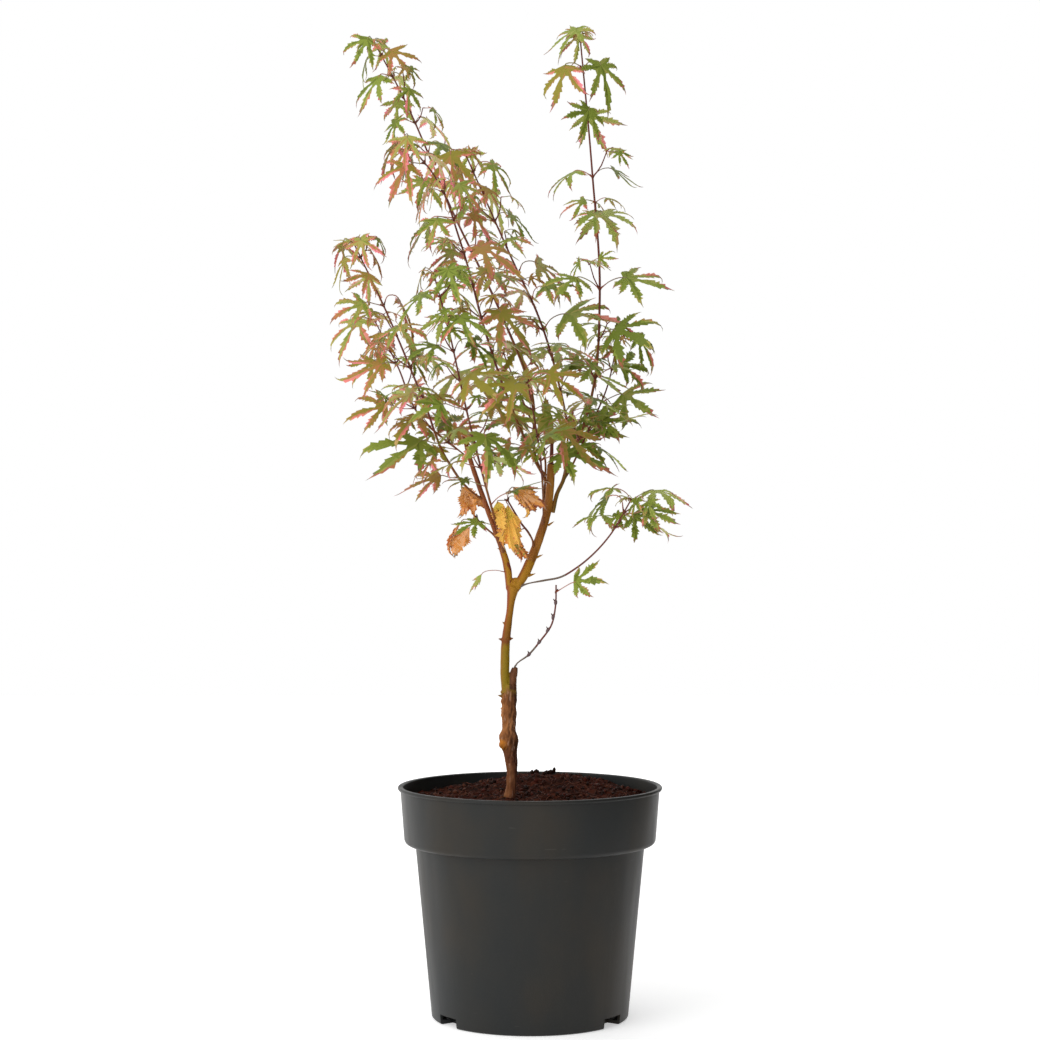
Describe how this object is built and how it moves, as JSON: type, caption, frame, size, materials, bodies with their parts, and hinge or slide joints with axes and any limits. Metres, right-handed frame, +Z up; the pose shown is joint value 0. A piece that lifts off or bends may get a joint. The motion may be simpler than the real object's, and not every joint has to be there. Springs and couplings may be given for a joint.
{
  "type": "potted japanese maple",
  "caption": "Young grafted Japanese maple with slim upright shoots and deeply cut green leaves edged with pink, in a dark round nursery pot.",
  "frame": {"origin": "middle of the pot's flat underside", "axes": "+Z up along the trunk, the pictured front of the plant faces -Y"},
  "size_m": [0.2701, 0.2606, 0.7207],
  "materials": {
    "pot_plastic": "matte anthracite polypropylene",
    "soil": "damp lumpy peat and coir",
    "bark": "rough brown bark on the rootstock, smooth olive green above",
    "young_bark": "smooth orange-brown bark",
    "foliage": "soft leaf, olive green with pink and russet",
    "autumn_foliage": "thin leaf turning yellow, orange and rust",
    "shoot": "smooth dark red-brown young shoot"
  },
  "bodies": {
    "root": {"pot": "pot_plastic", "soil": "soil", "trunk": "bark", "left_leader": "young_bark", "right_leader": "young_bark", "outer_shoot": "young_bark", "twig_low": "foliage", "spray_right_low": "foliage", "twig_yellow": "autumn_foliage", "twig_rust": "autumn_foliage", "shoot_far_left": "foliage", "shoot_left_low": "foliage", "shoot_inner": "foliage", "shoot_tall_left": "foliage", "shoot_mid_left": "foliage", "shoot_middle": "foliage", "shoot_tall_right": "foliage", "shoot_right_back": "foliage", "shoot_front": "foliage", "shoot_back": "foliage"}
  },
  "joints": []
}
